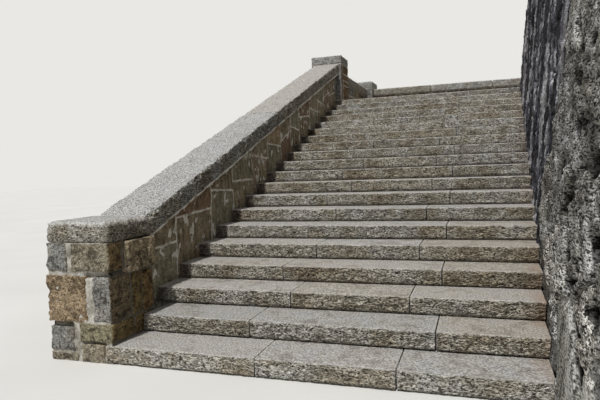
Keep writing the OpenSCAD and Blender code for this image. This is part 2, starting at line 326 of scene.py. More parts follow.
def step_block(bm, number, k, x_from, x_to, cell):
    """One block of a course: its outline is swept along the course, then weathered. Where x_to
    is None it ends against the flank wall."""
    base_y, base_z = (number - 1) * tread, (number - 1) * riser
    last = x_to is None
    far = flank_foot(base_y, base_z) - wall_gap if last else x_to
    size = (far - x_from, tread + lap, riser)
    seed = number * 3.7 + k * 11.3
    chance = random.Random(number * 10 + k)
    up_front = spread(riser, 0.0085 if number < 5 else 0.0125 if number < 9 else 0.02, 0.016)
    # The outline goes up the riser, back over the tread and home along the bed
    back = [0.006, 0.016, 0.03, 0.048, 0.07, 0.1, 0.14, 0.185, 0.235, 0.29, 0.34, 0.38, 0.41, 0.43]
    outline = ([(0.0, z) for z in up_front] + [(y, riser) for y in back]
               + [(size[1], riser), (size[1], 0.0), (0.24, 0.0), (0.03, 0.0)])
    cuts = max(3, round(size[0] / cell))
    block = bmesh.new()
    ring = [block.verts.new((0.0, y, z)) for y, z in outline]
    edges = [block.edges.new((a, b)) for a, b in zip(ring, ring[1:] + ring[:1])]
    bmesh.ops.spin(block, geom=ring + edges, cent=(0, 0, 0), axis=(1, 0, 0), angle=0.0,
                   dvec=(size[0] / cuts, 0, 0), steps=cuts, use_merge=False)
    bmesh.ops.edgeloop_fill(block, edges=[e for e in block.edges if e.is_boundary])
    rim = 0.003
    ends = {0: 0.0, 1: rim, cuts - 1: size[0] - rim, cuts: size[0]}
    for v in block.verts:
        place = round(v.co.x / size[0] * cuts)
        v.co.x = ends.get(place, size[0] * place / cuts)
    stands_out = chance.uniform(-0.002, 0.002)

    def relief(p, out):
        front = max(0.0, -out.y)
        broken = quarry_face(p.x, p.z, seed) * 0.0125 - 0.003
        # Its foot is knocked back, so that a dark open joint shows above the tread below
        broken -= 0.018 * max(0.0, 1.0 - p.z / 0.020)
        # The tread is hollowed a little by feet, more towards its front
        hollow = 0.0022 * noise.noise((p.x * 2.2, p.y * 5.0, seed)) - 0.0015
        return front * broken + max(0.0, out.z) * hollow + stands_out * front

    def dressed(p, out):
        return min(1.0, max(0.0, (out.z - 0.25) * 2.0 + 0.5 * noise.noise(p * 26.0)))

    def put(p):
        y, z = base_y + p.y, base_z + p.z
        if not last:
            return Vector((x_from + p.x, y, z))
        reach = flank_foot(y, z) - wall_gap - x_from
        return Vector((x_from + p.x / size[0] * reach, y, z))

    weather(block, size, (0.004, 0.014, 0.013), relief, put, seed, chance.random(), dressed,
            kind=number / 21)
    # The corner beside the parapet is painted dark, as the parapet's shadow with some dirt, and
    # soil washes against the flank wall
    earth_and_shade, tone_and_shade = (block.verts.layers.float[each] for each in ("earth_and_shade", "kind"))
    for v in block.verts:
        corner = 1.0 - (v.co.x + flight_width / 2 + 0.06 * noise.noise(v.co * 9.0)) / 0.16
        if corner > 0.0 and number > 1:
            # Painted shadow: the parapet's shadow on the step's end, with some dirt
            v[tone_and_shade] = 0.96 + min(0.04, 0.08 * corner)
        from_wall = flank_foot(v.co.y, v.co.z) - v.co.x
        v[earth_and_shade] = max(0.0, 0.8 - from_wall / 0.22) * (0.8 + 1.4 * noise.noise(v.co * 5.0))
    join(bm, block)


for number in range(1, 21):
    node = f"step_{number:02d}"
    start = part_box(node)[0].x - foot.x
    cuts = [flight_width * (part - 0.5) for part in (odd_joints if number % 2 else even_joints)]
    cell = 0.0095 if number < 5 else 0.015 if number < 9 else 0.03
    ends = [start] + cuts + [None]
    bm = bmesh.new()
    for k in range(3):
        step_block(bm, number, k, ends[k] + (joint / 2 if k else 0.0),
                   ends[k + 1] - joint / 2 if k < 2 else None, cell)
    finish_piece(bm, f"granite_{node}", [step_granite], "step_granite", node)

# Copings and caps: long raked slabs of the same granite over the parapet, blocks on the piers and
# flat slabs on the landing's walls. Tops are dressed fine, sides rock-faced, arrises worn round.
coping_granite = granite("bush_hammered_coping_granite", ("#6c6966", "#a9a7a3", "#d4d2ce"),
                         ("#3c3730", "#bdb9b0", "#f8f5ee"), grain=0.25, clouds=0.3)


def cut_block(bm, size, cell, edge):
    """A closed block with one corner at the origin, cut into a grid along its three sides."""
    stops = [spread(length, cell if isinstance(cell, float) else cell[k], edge)
             for k, length in enumerate(size)]
    bmesh.ops.create_cube(bm, size=1.0)
    bmesh.ops.translate(bm, verts=bm.verts, vec=(0.5, 0.5, 0.5))
    for axis in range(3):
        edges = [e for e in bm.edges if abs(e.verts[0].co[axis] - e.verts[1].co[axis]) > 0.5]
        bmesh.ops.subdivide_edges(bm, edges=edges, cuts=len(stops[axis]) - 2, use_grid_fill=True)
    for v in bm.verts:
        v.co = [stops[k][round(v.co[k] * (len(stops[k]) - 1))] for k in range(3)]


def slab(bm, size, place, seed, cell=0.024, arris=0.024, dents=(), shade=0.6, under=0.6,
         rough=0.011, smooth=0.0, tone_and_shade=0.0, chips=0.7):
    """A coping slab or cap: rock-faced all round, dressed on top, with dents knocked into it.
    smooth is how finely its sides are dressed; the number after it says where the slab lies on
    the scale of tone that the steps' risers follow."""
    block = bmesh.new()
    cut_block(block, size, cell, arris * 1.3)

    def relief(p, out):
        side = math.hypot(out.x, out.y)
        along = p.y if abs(out.x) > abs(out.y) else p.x
        broken = quarry_face(along * 1.3, p.z, seed) * rough - 0.25 * rough
        broken += rough * 0.5 * noise.noise((along * 27.0, p.z * 42.0, seed))
        top = 0.003 * noise.noise((p.x * 4.0, p.y * 4.0, seed)) - 0.001
        depth = sum(d * math.exp(-((p - Vector(c)).length / r) ** 2) for c, r, d in dents)
        return side * broken + max(0.0, out.z) * top - depth

    def dressed(p, out):
        return min(1.0, max(smooth, (out.z - 0.2) * 2.2 + 0.6 * noise.noise(p * 23.0)))

    weather(block, size, arris, relief, place, seed, random.Random(seed).random(), dressed,
            kind=tone_and_shade, chips=chips, shade=shade, under=under)
    join(bm, block)


# The coping's top keeps one height above the line of the nosings. It is two slabs, with the
# joint between them square to the rake.
coping_rise, coping_width, coping_thick = 0.788, 0.540, 0.200
parapet_thick, lower_pier_depth, flight_run = 0.360, 0.600, 19 * tread
slope_length = math.hypot(1.0, pitch)
coping_drop = coping_thick * slope_length
split = lower_pier_depth + (flight_run - lower_pier_depth) * 0.47
square = coping_drop * pitch / (1 + pitch * pitch)


def coping_top(y):
    return riser + y * pitch + coping_rise


def lay_coping(name, y_from, y_to, lean_from, lean_to, seed, cell, dents):
    """One raked slab between two distances up the flight, each end leaning by its own amount."""
    size = (coping_width, (y_to - y_from) * slope_length, coping_thick)
    left = -flight_width / 2 - parapet_thick / 2 - coping_width / 2

    def put(p):
        below = 1.0 - p.z / size[2]
        run = y_to - y_from + (lean_to - lean_from) * below
        y = y_from + lean_from * below + run * p.y / size[1]
        return Vector((left + p.x, y, coping_top(y) - coping_drop * below))

    bm = bmesh.new()
    # Its side towards the steps gets a little painted shade, darkened brown
    slab(bm, size, put, seed, cell, dents=dents, rough=0.026, shade=0.3, chips=1.3)
    finish_piece(bm, f"granite_{name}", [coping_granite], "coping_granite", name)


# Dents in the arris towards the steps, near the lower end, as (place, reach, depth)
dents = [((coping_width, 0.06, 0.2), 0.05, 0.03), ((coping_width, 0.16, 0.19), 0.04, 0.022),
         ((coping_width, 0.34, 0.2), 0.05, 0.016)]
lay_coping("coping_lower", lower_pier_depth, split - joint / 2, 0.0, square, 4.1,
           (0.03, 0.014, 0.0125), dents)
lay_coping("coping_upper", split + joint / 2, flight_run, square, 0.0, 8.7,
           (0.03, 0.02, 0.016), ())

# The caps' sides towards the steps are darkened brown: painted shade, with some brown stain
for name, seed, arris, smooth, cell in (("lower_pier_cap", 3.2, 0.044, 0.0, 0.013),
                                        ("upper_pier_cap", 5.9, 0.02, 0.7, 0.022),
                                        ("corner_pier_cap", 7.3, 0.024, 0.7, 0.022)):
    low, high = corners(name)
    bm = bmesh.new()
    slab(bm, tuple(high - low), lambda p, low=low: low + p, seed, cell=cell, arris=arris,
         shade=0.9, under=0.25, rough=0.013, smooth=smooth, tone_and_shade=0.1)
    finish_piece(bm, f"granite_{name}", [coping_granite], "coping_granite", name)

for name, seed, count in (("landing_side_coping", 3.4, 2), ("landing_back_coping", 6.1, 3)):
    low, high = corners(name)
    along = 1 if name == "landing_side_coping" else 0
    bm = bmesh.new()
    for k in range(count):
        size = high - low
        size[along] = (high[along] - low[along] - (count - 1) * joint) / count
        start = low.copy()
        start[along] += k * (size[along] + joint)
        # The side coping's side towards the steps is darkened brown all over: painted shade
        slab(bm, tuple(size), lambda p, start=start: start + p, seed + k, cell=0.034, smooth=0.5,
             shade=1.8 if along else 0.6)
    finish_piece(bm, f"granite_{name}", [coping_granite], "coping_granite", name)

# Landing floor: large flags of dressed granite laid dry in courses on the filled core.
flag_granite = granite("dressed_flag_granite", ("#7b7770", "#a8a39b", "#cac6be"),
                       ("#4a443c", "#867f74", "#aaa397"), grain=0.3)
low, high = corners("landing_floor")
landing_level, flag_depth = 20 * riser, 0.640
first = flight_run + tread + lap + joint
rows = round((high.y - first) / flag_depth)
row_depth = (high.y - first + joint) / rows
wide = high.x - low.x
# The first row's last flag is cut to the flank wall's end, and starts behind the wall
wall_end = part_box("flank_wall")[1].y - foot.y + wall_gap
behind = (flank_foot(8.45, landing_level) - low.x) / wide
bm = bmesh.new()
for row in range(rows):
    cuts = [0, 0.17, 0.41, 0.66, 1] if row % 2 else [0, 0.26, 0.52, behind, 1]
    for k in range(4):
        left = low.x + cuts[k] * wide + (joint / 2 if k else 0)
        far = low.x + cuts[k + 1] * wide - (joint / 2 if k < 3 else 0)
        near = wall_end if row == 0 and k == 3 else first + row * row_depth
        start = Vector((left, near, low.z))
        size = (far - left, first + (row + 1) * row_depth - joint - near, high.z - low.z)
        slab(bm, size, lambda p, start=start: start + p, 20.0 + row * 5 + k, cell=0.08,
             arris=0.009)
finish_piece(bm, "granite_landing_floor", [flag_granite], "flag_granite", "landing_floor")

# Lower pier: squared field stones of several kinds round a rubble core, each one chosen and
# turned to make the corners, in wide joints of white lime mortar that has dropped out in places.


def rubble_stone():
    """Squared fieldstone, hammer-faced: grey granite, tan, drab, brown, olive and red-brown
    stone, picked by the stone's own kind, with pits, rust and lime specks."""
    material, tree, place, stone, kind, shaded, hewn = start_material(
        "hammer_faced_fieldstone", 0.9, 1.5, ("stone", "kind", "earth_and_shade", "worn"), 0.2)
    apart = add(tree, "Math", {0: stone, 1: 31.0}, operation="MULTIPLY")
    own = add(tree, "VectorMath", {0: place, 1: apart}, operation="ADD")
    # The kinds lie at sixths: granite, tan, drab, brown, olive, red-brown
    sixths = (0.0, 0.167, 0.333, 0.5, 0.667, 0.833)
    dark = ("#4b4844", "#5c4e38", "#4d463a", "#463b2b", "#4a4534", "#46352a")
    pale = ("#c6c5c1", "#d8c0a0", "#cbc3b0", "#cdbea1", "#cdc8ac", "#c0a58c")
    dark, pale = (add(tree, "ValToRGB", {"Fac": kind}, steps=dict(zip(sixths, colours)))
                  for colours in (dark, pale))
    for ramp in (dark, pale):
        ramp.node.color_ramp.interpolation = "CONSTANT"
    # Hammer-broken chips of about 50 mm, pits of 25 mm, and colour clouds of about 150 mm
    chip_height, chip_tilt_shade = broken_facets(own, 0.055, 0.042)
    marks = add(tree, "TexNoise", {"Vector": own, "Scale": 36.0, "Detail": 3.0, "Roughness": 0.65})
    cloud = add(tree, "TexNoise", {"Vector": own, "Scale": 6.5, "Detail": 3.0, "Roughness": 0.5})
    mixed = add(tree, "Mix", {0: 0.35, 2: marks, 3: cloud})
    # The chips' own grey follows their tilt: painted light and shade
    mixed = add(tree, "Mix", {0: 0.15, 2: mixed, 3: chip_tilt_shade})
    spread_out = add(tree, "MapRange", {"Value": mixed, "From Min": 0.39, "From Max": 0.59})
    face = add(tree, "Mix", {0: spread_out, 6: dark, 7: pale}, **cover)
    # Split faces beside the steps are calmer than hammered ones, with upright marks 60 mm wide
    split = stretched(own, (16.0, 16.0, 4.5), 3.0, 0.6)
    split = add(tree, "MapRange", {"Value": split, "From Min": 0.36, "From Max": 0.64,
                                   "To Min": 0.3, "To Max": 1.0})
    even = add(tree, "Mix", {0: split, 6: dark, 7: pale}, **cover)
    calm = add(tree, "Math", {0: hewn, 1: 0.65}, operation="MULTIPLY")
    face = add(tree, "Mix", {0: calm, 6: face, 7: even}, **cover)
    strength = add(tree, "Math", {0: hewn, 1: -0.25, 2: 0.60}, operation="MULTIPLY_ADD")
    # Grains drawn 13 mm wide
    speck = add(tree, "TexNoise", {"Vector": own, "Scale": 76.0, "Detail": 0.5, "Roughness": 0.6})
    grains = add(tree, "ValToRGB", {"Fac": speck},
                 steps={0.36: "#4a4641", 0.46: "#d2cfc9", 0.6: "#ffffff"})
    each = add(tree, "ValToRGB", {"Fac": stone},
               steps={0.0: "#dcd6cc", 0.4: "#ffffff", 0.75: "#e6e2da", 1.0: "#f7f4ee"})
    # Rust in some places and lime wash in a few, and the side towards the steps darkened brown:
    # painted shade, with some brown stain
    rust = add(tree, "TexNoise", {"Vector": own, "Scale": 3.2, "Detail": 4.0})
    rusty = add(tree, "MapRange", {"Value": rust, "From Min": 0.55, "From Max": 0.72,
                                   "To Max": 0.3})
    lime = add(tree, "TexNoise", {"Vector": own, "Scale": 20.0, "Detail": 4.0, "Roughness": 0.75})
    limed = add(tree, "MapRange", {"Value": lime, "From Min": 0.655, "From Max": 0.70,
                                   "To Max": 0.5})
    for amount, colour, way in ((strength, grains, darken), (0.9, each, darken),
                                (rusty, "#857055", cover), (limed, "#cbc5b6", cover)):
        face = add(tree, "Mix", {0: amount, 6: face, 7: colour}, **way)
    soiled_and_shaded = add(tree, "Mix", {0: 0.8, 6: face, 7: "#bda06c"}, **darken)
    face = add(tree, "Mix", {0: shaded, 6: face, 7: soiled_and_shaded}, **cover)
    height = add(tree, "Math", {0: speck, 1: 0.25, 2: chip_height}, operation="MULTIPLY_ADD")
    height = add(tree, "Math", {0: marks, 1: 0.7, 2: height}, operation="MULTIPLY_ADD")
    paint(tree, face, height, 0.055)
    return material


def lime_mortar(name, colours):
    """White lime mortar, trowelled flush and weathered: chalky, sandy, greyed in patches, and
    darkened brown on the lower pier's side towards the steps, which is painted shade."""
    material, tree, place, tone_and_shade = start_material(name, 0.95, 1.5, ("earth_and_shade",))
    # Sand drawn 8 mm wide, and stains of about 150 mm
    sand = add(tree, "TexNoise", {"Vector": place, "Scale": 120.0, "Detail": 3.0, "Roughness": 0.7})
    stain = add(tree, "TexNoise", {"Vector": place, "Scale": 7.0, "Detail": 5.0, "Roughness": 0.65})
    face = add(tree, "ValToRGB", {"Fac": stain}, steps=dict(zip((0.32, 0.46, 0.6), colours)))
    grit = add(tree, "ValToRGB", {"Fac": sand}, steps={0.38: "#8f897d", 0.52: "#ffffff"})
    face = add(tree, "Mix", {0: 0.6, 6: face, 7: grit}, **darken)
    # Painted shade: joints on the pier's side towards the steps are darkened brown
    face = add(tree, "Mix", {0: tone_and_shade, 6: face, 7: "#4b4233"}, **cover)
    height = add(tree, "Math", {0: stain, 1: 2.0, 2: sand}, operation="MULTIPLY_ADD")
    paint(tree, face, height, 0.012, 0.8)
    return material


fieldstone = rubble_stone()
mortar = lime_mortar("trowelled_lime_mortar", ("#6f685b", "#b3ada0", "#dedad0"))
GRANITE, TAN, DRAB, BROWN, OLIVE, RED = ((k + 0.5) / 6 for k in range(6))


def draw_back(bm, step):
    """Makes a band of sides behind the open rim of a face."""
    rim = [e for e in bm.edges if e.is_boundary]
    made = bmesh.ops.extrude_edge_only(bm, edges=rim)["geom"]
    bmesh.ops.translate(bm, verts=[g for g in made if isinstance(g, bmesh.types.BMVert)],
                        vec=(0, step, 0))


def cut_face(bm, size, cell, edge):
    """The same block where only its front shows: the front in a grid, the sides in three bands
    and the hidden back in one piece."""
    stops = [spread(length, cell, edge) for length in (size[0], size[2])]
    bmesh.ops.create_grid(bm, x_segments=len(stops[0]) - 1, y_segments=len(stops[1]) - 1, size=0.5)
    for v in bm.verts:
        v.co = (stops[0][round((v.co.x + 0.5) * (len(stops[0]) - 1))], 0.0,
                stops[1][round((v.co.y + 0.5) * (len(stops[1]) - 1))])
    for step in (edge * 0.4, edge * 0.6, size[1] - edge):
        draw_back(bm, step)
    bmesh.ops.edgeloop_fill(bm, edges=[e for e in bm.edges if e.is_boundary])


def field_stone(bm, size, place, seed, kind, cell, arris=0.014, rough=0.008, all_round=False,
                grain=0.0, shade=1.0):
    """One squared stone, whose front shows or, all_round, all four sides; grain is how much its
    fine relief runs upright."""
    block = bmesh.new()
    cut = cut_block if all_round else cut_face
    cut(block, size, cell, arris)

    def relief(p, out):
        shown = abs(out.y) + abs(out.x) if all_round else max(0.0, -out.y)
        q = p * 7.0 + Vector((seed, seed * 2.0, 0.0))
        lump = noise.noise(q) + 0.5 * noise.noise(q * 2.3)
        facet = noise.ridged_multi_fractal(q * 1.4, 0.8, 2.2, 3, 1.0, 2.0) - 0.9
        fine = noise.noise((q.x * 4.3, q.y * 4.3, q.z * (4.3 - 2.2 * grain)))
        return shown * rough * (0.8 * lump + 0.5 * facet + 0.5 * fine)

    # shade darkens the stone's side towards the steps brown: painted shade, with some brown stain
    weather(block, size, arris, relief, place, seed, random.Random(seed).random(),
            lambda p, out: grain, kind, chips=0.9, shade=shade)
    join(bm, block)


def corner_stone(bm, box, seed, kind, cell, arris, rough, **looks):
    """A squared stone that shows all round, between its lowest and highest x, y and z."""
    x0, x1, y0, y1, z0, z1 = box
    field_stone(bm, (x1 - x0, y1 - y0, z1 - z0), lambda p: Vector((x0 + p.x, y0 + p.y, z0 + p.z)),
                seed, kind, cell, arris, rough, all_round=True, **looks)


bm = bmesh.new()
core = bmesh.new()
low, high = corners("lower_pier")
inset = 0.007
cut_block(core, (high.x - low.x - 2 * inset, high.y - low.y - inset, high.z), 0.022, 0.01)
# Where mortar has dropped out, as (x, y, z, reach across, reach up, depth)
dropped = [(-2.03, 0.0, 0.300, 0.115, 0.022, 0.07), (-1.66, 0.0, 0.722, 0.13, 0.018, 0.05),
           (-2.05, 0.0, 0.962, 0.09, 0.010, 0.04), (-1.72, 0.0, 0.158, 0.12, 0.014, 0.05),
           (-1.535, 0.42, 0.962, 0.2, 0.012, 0.05), (-1.535, 0.1, 0.722, 0.1, 0.014, 0.04)]
# The core's side towards the steps is marked for painted shade in its mortar
tone_and_shade = core.verts.layers.float.new("earth_and_shade")
for v in core.verts:
    v.co += low + Vector((inset, inset, 0.0))
    v[tone_and_shade] = 0.8 if v.co.x > -1.55 else 0.0
    for x, y, z, across, high_reach, depth in dropped:
        along = abs(v.co.x - x) if y == 0.0 else abs(v.co.y - y)
        near = v.co.y < 0.03 if y == 0.0 else v.co.x > -1.56
        if near and along < across and abs(v.co.z - z) < high_reach:
            v.co += Vector((0, depth, 0)) if y == 0.0 else Vector((-depth, 0, 0))
    v.co += 0.002 * noise.noise_vector(v.co * 12.0)
join(bm, core, 1)
# Stones as (lowest and highest x, y and z), kind, roughness
for k, (box, kind, rough) in enumerate((
        # top course
        ((-2.145, -1.945, 0.0, 0.30, 0.748, 0.972), GRANITE, 0.009),
        ((-1.902, -1.535, 0.0, 0.172, 0.745, 0.973), DRAB, 0.009),
        ((-1.760, -1.500, 0.214, 0.598, 0.706, 0.968), BROWN, 0.020),
        ((-2.145, -1.80, 0.33, 0.600, 0.735, 0.970), OLIVE, 0.009),
        # tall course
        ((-2.146, -1.772, 0.0, 0.255, 0.325, 0.708), TAN, 0.016),
        ((-1.706, -1.535, 0.0, 0.262, 0.338, 0.702), GRANITE, 0.008),
        ((-1.74, -1.532, 0.284, 0.425, 0.335, 0.690), OLIVE, 0.008),
        ((-1.74, -1.534, 0.440, 0.600, 0.33, 0.682), BROWN, 0.008),
        ((-2.145, -1.83, 0.285, 0.600, 0.318, 0.712), BROWN, 0.010),
        # olive course
        ((-2.145, -1.905, 0.0, 0.33, 0.085, 0.282), GRANITE, 0.007),
        ((-1.852, -1.533, 0.0, 0.302, 0.172, 0.322), OLIVE, 0.009),
        ((-1.80, -1.535, 0.318, 0.600, 0.160, 0.318), OLIVE, 0.007),
        ((-2.145, -1.83, 0.36, 0.600, 0.03, 0.292), GRANITE, 0.008),
        # foot
        ((-1.838, -1.614, 0.0, 0.28, 0.0, 0.150), DRAB, 0.008),
        ((-2.155, -1.87, -0.0, 0.33, 0.0, 0.066), DRAB, 0.008))):
    # The boulder that bulges from the side catches the light, so it gets less of the painted shade
    # there
    corner_stone(bm, box, 1.3 + k * 2.9, kind, 0.014, 0.013, rough,
                 shade=0.2 if rough == 0.020 else 1.0, grain=0.2)
finish_piece(bm, "fieldstone_lower_pier", [fieldstone, mortar], "mortared_rubble", "lower_pier")

# Parapet, landing walls and upper piers: squared rubble over a mortared heart, which is the
# imported solid itself. Stones stand a few millimetres proud of their flush white joints.
# Beside the steps the pointing is a paler copy of the lime mortar: painted light, so that its
# joints read bright in the shade
pointing = lime_mortar("lime_pointing_painted_paler", ("#a29c8e", "#e2ddd0", "#f4f1e8"))
for name in ("parapet_wall", "landing_side_wall", "landing_back_wall", "upper_pier",
             "corner_pier", "flight_bed", "landing_core"):
    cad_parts[name].data.materials.clear()
    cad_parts[name].data.materials.append(pointing if name == "parapet_wall" else mortar)


def wall_stone(bm, to_wall, quad, seed, kind, cell, rough=0.007, grain=0.0):
    """A stone in a wall's face, given by four corners: along and up, from the lower left, round."""
    proud, deep = 0.005, 0.07
    a, b, c, d = (Vector(q) for q in quad)
    size = (((b - a).length + (c - d).length) / 2, deep, ((d - a).length + (c - b).length) / 2)

    def put(p):
        s, t = p.x / size[0], p.z / size[2]
        q = (a * (1 - s) + b * s) * (1 - t) + (d * (1 - s) + c * s) * t
        return to_wall(q.x, q.y, proud - p.y)

    field_stone(bm, size, put, seed, kind, cell, 0.013, rough, grain=grain, shade=0.0)


def kind_of(chance):
    return chance.choice((BROWN, BROWN, BROWN, BROWN, OLIVE, OLIVE, DRAB, RED, GRANITE))


def coursed_face(bm, to_wall, start, end, low, top_of, seed, cell, gap=0.02, tall=(0.26, 0.40),
                 lengths=(0.32, 0.68)):
    """Rough courses of stones between two ends, from a level up to the line of the wall's top."""
    chance = random.Random(seed)
    highest = max(top_of(start), top_of(end))
    z = low
    rising = top_of(end) > top_of(start) + 0.01
    while z < highest - 0.06:
        z_next = z + chance.uniform(*tall)
        if highest - z_next < 0.12:
            z_next = highest
        # On a raked wall a course starts where the rake comes down to it
        begin, reach = start, None
        if rising:
            begin = max(start, (z + 0.05 - top_of(0)) / (top_of(1) - top_of(0)))
            reach = (z_next - top_of(0)) / (top_of(1) - top_of(0))
        joints = [begin]
        while joints[-1] < end - 0.2:
            joints.append(joints[-1] + chance.uniform(*lengths))
        if end - joints[-1] < 0.22 and len(joints) > 1:
            joints.pop()
        joints.append(end)
        if reach is not None and begin + 0.1 < reach < end - 0.1:
            joints = [j for j in joints if abs(j - reach) > 0.16 or j in (begin, end)]
            joints = sorted(joints + [reach])
        for left, right_end in zip(joints, joints[1:]):
            if right_end - left < 0.08:
                continue
            left += gap / 2 if left > start else 0
            right_end -= gap / 2 if right_end < end else 0
            tip = abs(chance.uniform(-0.02, 0.02))
            top_left, top_right = (min(z_next, top_of(p)) - gap / 2 for p in (left, right_end))
            if top_left - z < 0.05:
                tip, top_left = 0.0, max(top_left, z + 0.045)
            quad = ((left, z + gap / 2), (right_end, z + gap / 2),
                    (right_end - tip, top_right), (left + tip, top_left))
            wall_stone(bm, to_wall, quad, chance.uniform(0, 90), kind_of(chance), cell)
        z = z_next


def underside(y):
    return coping_top(y) - coping_drop


parapet_x = (-flight_width / 2 - parapet_thick, -flight_width / 2)
parapet_start = 0.605


def stair_face(a, h, d):
    """A place on the side towards the steps: along, up, and how far it stands out."""
    return Vector((parapet_x[1] + d, a, h))


def outer_face(a, h, d):
    """The same on the other side, away from the steps."""
    return Vector((parapet_x[0] - d, a, h))


# Upright joints of the face beside the steps, as the distance up the flight and the heights of
# the bed joints that meet there, from the stone before and from the stone after
columns = [(0.602, 0.800), (1.238, 0.830, 1.065), (2.010, 1.110, 1.315), (2.610, 1.290, 1.400),
           (3.245, 1.410, 1.730), (3.865, 1.700, 1.915), (4.415, 1.896, 1.960),
           (4.900, 2.160, 2.240), (5.370, 2.200, 2.430), (6.010, 2.500, 2.650),
           (6.550, 2.620, 2.860), (7.050, 2.800, 2.960), (7.500, 3.120, 3.060), (7.976, 3.180)]
# The kinds of the stones below the bed joint, and of those above it
lowers = [OLIVE, BROWN, OLIVE, BROWN, BROWN, OLIVE, RED, BROWN, BROWN, OLIVE, BROWN, RED, BROWN]
uppers = [BROWN, RED, BROWN, OLIVE, BROWN, TAN, BROWN, OLIVE, RED, BROWN, OLIVE, BROWN, BROWN]
half_joint, below_coping = 0.011, 0.016
chance = random.Random(5)
bm = bmesh.new()
for k, kinds in enumerate(zip(lowers, uppers)):
    left, right_end = columns[k][0] + half_joint, columns[k + 1][0] - half_joint
    bed_left, bed_right = columns[k][-1], columns[k + 1][1]
    lean_left, lean_right = chance.uniform(-0.02, 0.02), chance.uniform(-0.02, 0.02)
    if k == 0:
        lean_left = 0.0
    low_quad = ((left - lean_left, left * pitch - 0.03),
                (right_end - lean_right, right_end * pitch - 0.03),
                (right_end, bed_right - half_joint), (left, bed_left - half_joint))
    high_quad = ((left, bed_left + half_joint), (right_end, bed_right + half_joint),
                 (right_end + lean_right * 0.5, underside(right_end) - below_coping),
                 (left + lean_left * 0.5, underside(left) - below_coping))
    seeds = (3.0 + k * 1.7, 51.0 + k * 1.9)
    for quad, seed, kind in zip((low_quad, high_quad), seeds, kinds):
        wall_stone(bm, stair_face, quad, seed, kind, 0.016 if k < 6 else 0.024, 0.013, 1.0)
coursed_face(bm, outer_face, parapet_start, flight_run - wall_gap, 0.0, underside, 11, 0.075)
# The copings' bed of lime, which still shows under their overhang towards the steps
bead, bed_thick = bmesh.new(), 0.030
cut_block(bead, (0.094, flight_run - parapet_start - 0.005, bed_thick), 0.035, 0.008)
for v in bead.verts:
    y = v.co.y + parapet_start
    thick = 0.65 + 0.9 * noise.noise((0.0, y * 1.6, 4.0)) + 0.5 * noise.noise((0.0, y * 13.0, 9.0))
    squeezed = 1.05 + 0.16 * noise.noise((3.0, y * 3.1, 0.0))
    v.co = Vector((parapet_x[1] - 0.006 + v.co.x * squeezed, y,
                   underside(y) + 0.012 - (bed_thick - v.co.z) * min(1.0, max(0.2, thick))))
join(bm, bead, 1)
finish_piece(bm, "fieldstone_parapet", [fieldstone, pointing], "mortared_rubble")

# The landing's walls show all their height outside, and only what stands over the landing inside
wall_top, low_courses = 3.480, (0.2, 0.28)
side = (8.604, 11.146)
bm = bmesh.new()
coursed_face(bm, outer_face, *side, 0.0, lambda a: wall_top, 21, 0.08)
coursed_face(bm, stair_face, *side, landing_level, lambda a: wall_top, 22, 0.04, tall=low_courses)
finish_piece(bm, "fieldstone_landing_side", [fieldstone], "mortared_rubble")

bm = bmesh.new()
low, high = corners("landing_back_wall")


def end_face(a, h, d):
    return Vector((high.x + d, a, h))


coursed_face(bm, lambda a, h, d: Vector((-a, high.y + d, h)), -high.x, -low.x, 0.0,
             lambda a: wall_top, 31, 0.09)
coursed_face(bm, lambda a, h, d: Vector((a, low.y - d, h)), low.x + wall_gap, high.x,
             landing_level, lambda a: wall_top, 32, 0.05, tall=low_courses)
coursed_face(bm, end_face, low.y, high.y, 0.0, lambda a: wall_top, 33, 0.09, lengths=(0.36, 0.36))
finish_piece(bm, "fieldstone_landing_back", [fieldstone], "mortared_rubble")

# Under the floor's open end the fill is faced up to the flags' bed
flag_bed = 2.85
bm = bmesh.new()
coursed_face(bm, end_face, wall_end, low.y - wall_gap, 0.0, lambda a: flag_bed, 34, 0.09)
finish_piece(bm, "fieldstone_landing_end", [fieldstone], "core_rubble")


def pier(bm, name, levels, seed, notch, quoin=0.0):
    """Four corner stones to a course, their joints moved from course to course, and above the
    landing, if quoin gives its width, one tall block of granite at the front corner."""
    chance = random.Random(seed)
    low, high = corners(name)
    proud, half_bed = 0.004, 0.009
    for z0, z1 in zip(levels, levels[1:]):
        raised = z1 > landing_level
        x1 = parapet_x[1] if notch and not raised else high.x
        cut_x = low.x + (x1 - low.x) * chance.uniform(0.32, 0.62)
        cut_y = low.y + (high.y - low.y) * chance.uniform(0.35, 0.65)
        if quoin and raised:
            cut_y = low.y + 0.15
        for xa, xb in ((low.x - proud, cut_x - 0.01), (cut_x + 0.01, x1 + proud)):
            for ya, yb in ((low.y - proud, cut_y - 0.01), (cut_y + 0.01, high.y + proud)):
                kind, beside = kind_of(chance), 0.0
                if quoin and raised and xa > cut_x:
                    kind, beside = BROWN, quoin + 0.014 if ya < low.y else 0.0
                corner_stone(bm, (xa, xb - beside, ya, yb, z0 + half_bed, z1 - half_bed),
                             chance.uniform(0, 90), kind, 0.028 if raised else 0.06, 0.012, 0.006)
    if quoin:
        box = (high.x - quoin, high.x + 0.005, low.y - 0.005, low.y + 0.13,
               landing_level + half_bed, levels[-1] - half_bed)
        corner_stone(bm, box, 12.0, GRANITE, 0.028, 0.014, 0.006, shade=0.9, grain=0.8)


bm = bmesh.new()
pier(bm, "upper_pier", [0.0, 0.33, 0.62, 0.98, 1.30, 1.66, 1.95, 2.31, 2.64, 3.0, 3.347, 3.454,
                        3.593, 3.794], 41, True, 0.145)
finish_piece(bm, "fieldstone_upper_pier", [fieldstone], "mortared_rubble")
bm = bmesh.new()
pier(bm, "corner_pier", [0.0, 0.35, 0.66, 1.02, 1.33, 1.64, 2.0, 2.33, 2.66, 3.0, 3.36, 3.685],
     43, False, 0.300)
finish_piece(bm, "fieldstone_corner_pier", [fieldstone], "mortared_rubble")

# Flank wall: a massive battered wall of huge quarry-faced stones, pitted and streaked by water,
# with deep hollows where small packing stones are gone. Its rough near part stands forward.


